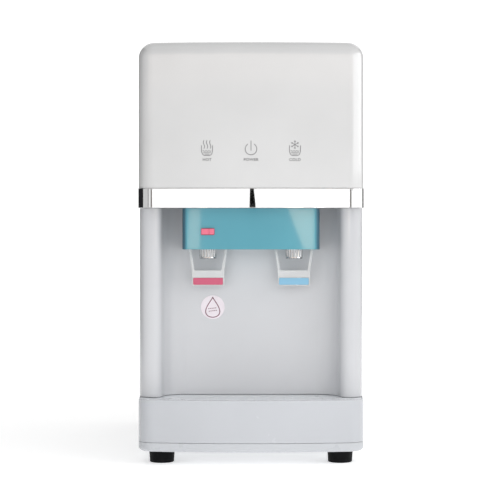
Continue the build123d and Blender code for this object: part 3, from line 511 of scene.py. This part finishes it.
def label(name, words, x):
    """Small printed word, turned into a mesh that lies on the head."""
    curve = bpy.data.curves.new(name, "FONT")
    curve.body = words
    curve.size = LABEL_SIZE
    curve.align_x = "CENTER"
    curve.extrude = 0.5
    curve.offset = LABEL_BOLDNESS
    curve.space_character = LABEL_SPACING
    writer = bpy.data.objects.new(name + "_curve", curve)
    SCENE.collection.objects.link(writer)
    bpy.context.view_layer.update()
    depsgraph = bpy.context.evaluated_depsgraph_get()
    flat = bpy.data.meshes.new_from_object(writer.evaluated_get(depsgraph))
    bpy.data.objects.remove(writer)
    bm = bmesh.new()
    bm.from_mesh(flat)
    bpy.data.meshes.remove(flat)
    place = on_head(x, LABEL_Z)
    for vertex in bm.verts:
        lift = 1.0 if vertex.co.z > 0 else 0.0
        vertex.co = Vector(place(vertex.co.x, vertex.co.y, lift))
    add_piece(name, bm, PRINT_GREY, "housing", smooth=False)


label("label_hot", "HOT", -TAP_X)
label("label_power", "POWER", 0.0)
label("label_cold", "COLD", TAP_X)


# ------------------------------------------------------------------ guide sticker print

STICKER_LOW, STICKER_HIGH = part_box("guide_sticker")
STICKER_X = (STICKER_LOW.x + STICKER_HIGH.x) / 2
STICKER_Z = (STICKER_LOW.z + STICKER_HIGH.z) / 2
DROP_HALF_HEIGHT = 0.0118
DROP_STROKE = 0.0010
DASH_ROWS = ((-0.0052, 0.0046, -0.0012), (-0.0046, 0.0054, -0.0042))
DASHES = 5
DASH_SHARE = 0.70
DASH_SLOPE = 0.12
DASH_STROKE = 0.00085


def on_sticker(x, z, lift):
    return (STICKER_X + x, STICKER_LOW.y - PRINT_GAP - lift * PRINT_THICKNESS, STICKER_Z + z)


def drop_outline(steps=64):
    """Water drop: a round belly that narrows to a point at the top."""
    points = []
    for k in range(steps):
        t = 2 * math.pi * k / steps
        pinch = math.sin(t / 2) ** 1.5
        points.append((DROP_HALF_HEIGHT * math.sin(t) * pinch, DROP_HALF_HEIGHT * math.cos(t)))
    return points


bm = bmesh.new()
ribbon(bm, drop_outline(), DROP_STROKE, on_sticker, closed=True)
for x0, x1, z0 in DASH_ROWS:
    for k in range(DASHES):
        a = x0 + (x1 - x0) * k / DASHES
        b = a + (x1 - x0) * DASH_SHARE / DASHES
        ribbon(bm, [(a, z0 + DASH_SLOPE * a), (b, z0 + DASH_SLOPE * b)], DASH_STROKE, on_sticker)
add_piece("sticker_print", bm, PRINT_PLUM, "housing", smooth=False)


# ------------------------------------------------------------------ detailed small pieces

def middle(low, high):
    return (low + high) / 2


RELIEF_SEGMENTS = 144
NOZZLE_BORE = 0.0065
NOZZLE_FLUTES = 18
NOZZLE_FLUTE_DEPTH = 0.0009


def fluted_nozzle(side):
    """Clear outlet with vertical flutes above a plain lip."""
    low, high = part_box(f"{side}_nozzle")
    center = middle(low, high)
    z0, z1 = low.z, high.z
    r = (high.x - low.x) / 2
    profile = [
        (NOZZLE_BORE, z0 + 0.0006), (NOZZLE_BORE + 0.0005, z0), (r - 0.0012, z0),
        (r - 0.0004, z0 + 0.0008), (r - 0.0004, z0 + 0.0018), (r - 0.0006, z0 + 0.0024),
        (r - 0.0002, z0 + 0.0032), (r - 0.0002, z1 - 0.0020), (r, z1 - 0.0014), (r, z1),
        (NOZZLE_BORE, z1),
    ]
    bm = bmesh.new()
    lathe(
        bm, profile, lambda a, b, h: (center.x + a, center.y + b, h),
        RELIEF_SEGMENTS, NOZZLE_FLUTES, NOZZLE_FLUTE_DEPTH, (6, 7),
    )
    clear = MATERIALS["nozzle_clear"]
    piece = add_piece(f"{side}_nozzle_fluted", bm, clear, "housing")
    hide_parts(f"{side}_nozzle")


fluted_nozzle("hot")
fluted_nozzle("cold")

CAP_BORE = 0.00605
CAP_BORE_DEPTH = 0.0056
CAP_POLE = 0.0004
CAP_FLUTES = 24
CAP_FLUTE_DEPTH = 0.0007


def knurled_cap():
    """Drain cap with grip flutes round its rim and a blind bore."""
    low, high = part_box("drain_cap")
    center = middle(low, high)
    y0, y1, r = low.y, high.y, (high.x - low.x) / 2
    profile = [
        (CAP_BORE, y0), (r - 0.0005, y0), (r, y0 + 0.0006), (r, y1 - 0.0022),
        (r - 0.0006, y1 - 0.0010), (r - 0.0016, y1 - 0.0002), (r - 0.0028, y1),
        (0.0020, y1), (CAP_POLE, y1 - 0.0003), (CAP_POLE, y0 + CAP_BORE_DEPTH),
        (CAP_BORE, y0 + CAP_BORE_DEPTH),
    ]
    bm = bmesh.new()
    lathe(
        bm, profile, lambda a, b, h: (center.x + a, h, center.z + b),
        RELIEF_SEGMENTS, CAP_FLUTES, CAP_FLUTE_DEPTH, (2, 3),
    )
    black = MATERIALS["black_plastic"]
    piece = add_piece("drain_cap_knurled", bm, black, "housing")
    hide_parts("drain_cap")


knurled_cap()


COLLET_BORE = 0.0034
COLLET_RADIUS = 0.0060
COLLET_CHAMFER = (0.0008, 0.0006)
COLLET_GAP = 0.0001
COLLET_DEPTH = 0.0022
COLLET_SEGMENTS = 72


def collet_ring():
    """Release ring round the tube socket of the inlet fitting."""
    low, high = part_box("inlet_fitting")
    center = middle(low, high)
    y0, y1 = high.y + COLLET_GAP, high.y + COLLET_DEPTH
    narrower, shorter = COLLET_CHAMFER
    profile = [
        (COLLET_BORE, y0), (COLLET_BORE, y1), (COLLET_RADIUS - narrower, y1),
        (COLLET_RADIUS, y1 - shorter), (COLLET_RADIUS, y0),
    ]
    bm = bmesh.new()
    lathe(bm, profile, lambda a, b, h: (center.x + a, h, center.z + b), COLLET_SEGMENTS)
    add_piece("inlet_collet", bm, COLLET_GREY, "housing")


collet_ring()


SEAM_SHADE_THICKNESS = 0.00032
SEAM_SHADE_GAP = 0.00002
SAME_HEIGHT = 0.00001


def seam_shade_sheet():
    """Painted shade: dark sheet under the lower front panel; its edge shows as the shaded seam over the
    tray.
    """
    source = NODES["front_panel"].data
    foot = min(vertex.co.z for vertex in source.vertices)
    bm = bmesh.new()
    bm.from_mesh(source)
    above = [f for f in bm.faces if max(v.co.z for v in f.verts) > foot + SAME_HEIGHT]
    bmesh.ops.delete(bm, geom=above, context="FACES")
    sheet = bmesh.ops.extrude_face_region(bm, geom=bm.faces[:])
    lowered = [item for item in sheet["geom"] if isinstance(item, bmesh.types.BMVert)]
    bmesh.ops.translate(bm, verts=bm.verts[:], vec=(0, 0, -SEAM_SHADE_GAP))
    bmesh.ops.translate(bm, verts=lowered, vec=(0, 0, -SEAM_SHADE_THICKNESS))
    add_piece("seam_shade_sheet", bm, SEAM_SHADE_DARK, "housing", smooth=False)


seam_shade_sheet()

FILTERS = (1, 2, 3)
RIM_STEP = 0.001
BAND_LOW, BAND_HIGH = 0.300, 0.360
BAND_INNER, BAND_OUTER = 0.00005, 0.00035
BAND_TAPER = 0.0002


def filter_band(index):
    """Printed band round the can of one filter."""
    low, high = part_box(f"filter_{index}")
    center = middle(low, high)
    can = (high.x - low.x) / 2 - RIM_STEP
    profile = [
        (can + BAND_INNER, BAND_LOW), (can + BAND_OUTER, BAND_LOW + BAND_TAPER),
        (can + BAND_OUTER, BAND_HIGH - BAND_TAPER), (can + BAND_INNER, BAND_HIGH),
    ]
    bm = bmesh.new()
    lathe(bm, profile, lambda a, b, h: (center.x + a, center.y + b, h))
    add_piece(f"filter_{index}_band", bm, FILTER_BAND, f"filter_{index}")


for index in FILTERS:
    filter_band(index)


# ------------------------------------------------------------------ painted shade round the safety slider

SLIDER_WIDTH, SLIDER_HEIGHT = 0.0155, 0.0077
SLIDER_X, SLIDER_Z = -0.0498, 0.2673
GRIP_HEIGHT = 0.0005
GAP_SHADE_INSET = 0.0004
GAP_SHADE_STROKE = 0.0007


def slider_gap_shade_line():
    """Painted shade: dark line on the face of the safety slider, standing in for the shaded gap round it.
    """
    w = SLIDER_WIDTH / 2 - GAP_SHADE_INSET
    h = SLIDER_HEIGHT / 2 - GAP_SHADE_INSET
    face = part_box("safety_slider")[0].y + GRIP_HEIGHT

    def place(x, z, lift):
        return (SLIDER_X + x, face - PRINT_GAP - lift * PRINT_THICKNESS, SLIDER_Z + z)

    bm = bmesh.new()
    ribbon(bm, [(-w, -h), (w, -h), (w, h), (-w, h)], GAP_SHADE_STROKE, place, closed=True)
    add_piece("slider_gap_shade_line", bm, SLIDER_GAP_SHADE, "safety_slider", smooth=False)


slider_gap_shade_line()


# ------------------------------------------------------------------ studio

def flat_card(name, corners, color, strength, lights=False, mirrored=True):
    """Stage card: a light panel or a dark flag. Glossy parts mirror it unless mirrored is off;
    it lights matt surfaces only if lights is on."""
    mesh = bpy.data.meshes.new(name)
    mesh.from_pydata(corners, [], [(0, 1, 2, 3)])
    material = bpy.data.materials.new(name)
    material.use_nodes = True
    tree = material.node_tree
    tree.nodes.clear()
    glow = tree.nodes.new("ShaderNodeEmission")
    glow.inputs["Color"].default_value = (*color, 1.0)
    glow.inputs["Strength"].default_value = strength
    output = tree.nodes.new("ShaderNodeOutputMaterial")
    tree.links.new(glow.outputs[0], output.inputs["Surface"])
    mesh.materials.append(material)
    card = bpy.data.objects.new(name, mesh)
    card.visible_camera = False
    card.visible_glossy = mirrored
    card.visible_diffuse = lights
    card.visible_shadow = False
    card.visible_transmission = False
    SCENE.collection.objects.link(card)


FLOOR_FRONT, FLOOR_BACK = -6.0, 7.0
FLOOR_HALF_WIDTH = 7.0
SWEEP_RADIUS = 2.2
SWEEP_STEPS = 12
BACKDROP_TOP = 6.0
FLOOR_TONES = ((0.88, 0.88, 0.88), (0.90, 0.90, 0.90))
FLOOR_GLOW = 0.46


def build_floor():
    """Pale sweep: floor that curves up into a backdrop."""
    bm = bmesh.new()
    rows = []
    bend = FLOOR_BACK - SWEEP_RADIUS
    path = [(FLOOR_FRONT, 0.0), (bend, 0.0)]
    for k in range(1, SWEEP_STEPS + 1):
        a = math.radians(90 * k / SWEEP_STEPS)
        path.append((bend + SWEEP_RADIUS * math.sin(a), SWEEP_RADIUS - SWEEP_RADIUS * math.cos(a)))
    path.append((FLOOR_BACK, BACKDROP_TOP))
    for y, z in path:
        rows.append([bm.verts.new((x, y, z)) for x in (-FLOOR_HALF_WIDTH, FLOOR_HALF_WIDTH)])
    for low, high in zip(rows, rows[1:]):
        bm.faces.new((low[0], low[1], high[1], high[0]))
    mesh = bpy.data.meshes.new("floor")
    bm.to_mesh(mesh)
    bm.free()
    mesh.shade_smooth()
    g = Graph("floor")
    g.join(g.mix(g.noise(2.0), *FLOOR_TONES), g.shader.inputs["Base Color"])
    g.shader.inputs["Roughness"].default_value = 0.9
    g.shader.inputs["Specular IOR Level"].default_value = 0.1
    g.shader.inputs["Emission Color"].default_value = (1, 1, 1, 1)
    g.shader.inputs["Emission Strength"].default_value = FLOOR_GLOW
    mesh.materials.append(g.material)
    floor = bpy.data.objects.new("floor", mesh)
    SCENE.collection.objects.link(floor)


build_floor()

WORLD_STRENGTH = 0.70

world = bpy.data.worlds.new("studio")
SCENE.world = world
world.use_nodes = True
background = world.node_tree.nodes["Background"]
background.inputs["Color"].default_value = (1.0, 1.0, 1.0, 1.0)
background.inputs["Strength"].default_value = WORLD_STRENGTH


def area_light(name, position, target, size, power, mirrored=True):
    data = bpy.data.lights.new(name, "AREA")
    data.shape = "RECTANGLE"
    data.size, data.size_y = size
    data.energy = power
    light = bpy.data.objects.new(name, data)
    light.location = position
    direction = Vector(target) - Vector(position)
    light.rotation_euler = direction.to_track_quat("-Z", "Y").to_euler()
    light.visible_glossy = mirrored
    SCENE.collection.objects.link(light)


area_light("key", (1.9, -1.6, 1.5), (0, 0, 0.25), (1.4, 1.8), 5.0)
area_light("top", (0.2, -0.4, 2.6), (0, 0, 0.3), (1.6, 1.6), 2.0)
area_light("fill", (0.0, -2.0, 0.80), (0, -0.165, 0.20), (3.6, 0.6), 7.0, mirrored=False)

# A small light on each side of the tap bay, aimed across it at the opposite wall.
INNER_X, INNER_AIM_X = 0.12, 0.10
for side in (-1, 1):
    source, aim = (side * INNER_X, -0.42, 0.15), (-side * INNER_AIM_X, -0.17, 0.20)
    area_light("inner", source, aim, (0.10, 0.20), 0.075, mirrored=False)

LIGHT = (1.0, 1.0, 1.0)
WARM = (1.0, 0.82, 0.62)
PEACH = (1.0, 0.88, 0.80)
BROWN = (0.10, 0.07, 0.06)
DARK = (0.02, 0.02, 0.022)
BLACK = (0.004, 0.004, 0.004)


def front_card(name, y, x_span, z_span, color, strength, lean=0.0):
    """Upright card that faces the front of the part; lean moves its upper left corner along X."""
    (x0, x1), (z0, z1) = x_span, z_span
    corners = [(x0 + lean, y, z1), (x1, y, z1), (x1, y, z0), (x0, y, z0)]
    flat_card(name, corners, color, strength)


def side_card(name, x, y_span, z_span, color, strength, lights=False, mirrored=True):
    """Upright card to the left or right of the part."""
    (y0, y1), (z0, z1) = y_span, z_span
    corners = [(x, y0, z0), (x, y1, z0), (x, y1, z1), (x, y0, z1)]
    flat_card(name, corners, color, strength, lights, mirrored)


LEFT, RIGHT = -1.6, 1.7
FLAG_Z = (-0.2, 2.0)
side_card("flag_left", LEFT, (-0.30, 2.9), FLAG_Z, DARK, 1.0, lights=True)
side_card("card_head_side", RIGHT + 0.02, (-1.7, 0.6), (0.37, 1.3), LIGHT, 3.4)
side_card("shade_left", LEFT, (-1.4, -0.30), FLAG_Z, DARK, 1.0, lights=True, mirrored=False)
side_card("bounce_right", RIGHT, (-1.0, 0.9), (0.0, 1.3), LIGHT, 1.3, lights=True, mirrored=False)
side_card("flag_right", RIGHT, (1.0, 2.9), FLAG_Z, DARK, 1.0)

# Cards at the height of the chrome trim, behind the camera and at both sides.
BEHIND_Y = -2.5
TRIM_Z = (0.2975, 0.3445)
front_card("card_trim_left", BEHIND_Y, (-0.93, -0.008), TRIM_Z, LIGHT, 1.5)
front_card("flag_trim_left", BEHIND_Y, (-1.35, -0.925), TRIM_Z, BROWN, 1.0)
side_card("card_trim_left_side", LEFT, (-2.4, -1.75), TRIM_Z, LIGHT, 1.0)
side_card("flag_trim_left_side", LEFT, (-1.75, -1.55), TRIM_Z, DARK, 1.0)
front_card("card_trim_right", BEHIND_Y, (0.010, 0.955), TRIM_Z, LIGHT, 1.5, 0.004)
front_card("flag_trim_right", BEHIND_Y, (0.950, 1.34), TRIM_Z, BROWN, 1.0)
side_card("card_trim_right_side", RIGHT, (-2.6, 0.95), TRIM_Z, LIGHT, 1.4)

# Black wedge that the middle of the trim mirrors, just in front of the trim cards.
WEDGE_Y = -2.49
WEDGE_TOP, WEDGE_FOOT = (-0.010, 0.026), (0.044, -0.014)
wedge = [(x, WEDGE_Y, TRIM_Z[1]) for x in WEDGE_TOP] + [(x, WEDGE_Y, TRIM_Z[0]) for x in WEDGE_FOOT]
flat_card("flag_slot", wedge, BLACK, 1.0)

# Broad card higher up, for the rounded top edge of the head.
front_card("card_head_top", BEHIND_Y, (-3.0, 3.0), (0.60, 1.60), PEACH, 1.6)

# Narrow cards close to the faucet cover.
COVER_Y = -0.485
COVER_Z = (0.2405, 0.2945)
front_card("card_cover_right", COVER_Y, (0.091, 0.1065), COVER_Z, WARM, 5.5, -0.027)
front_card("card_cover_edge", COVER_Y, (0.128, 0.150), COVER_Z, LIGHT, 4.0)
front_card("card_cover_left", COVER_Y, (-0.108, -0.088), COVER_Z, WARM, 4.5, 0.004)
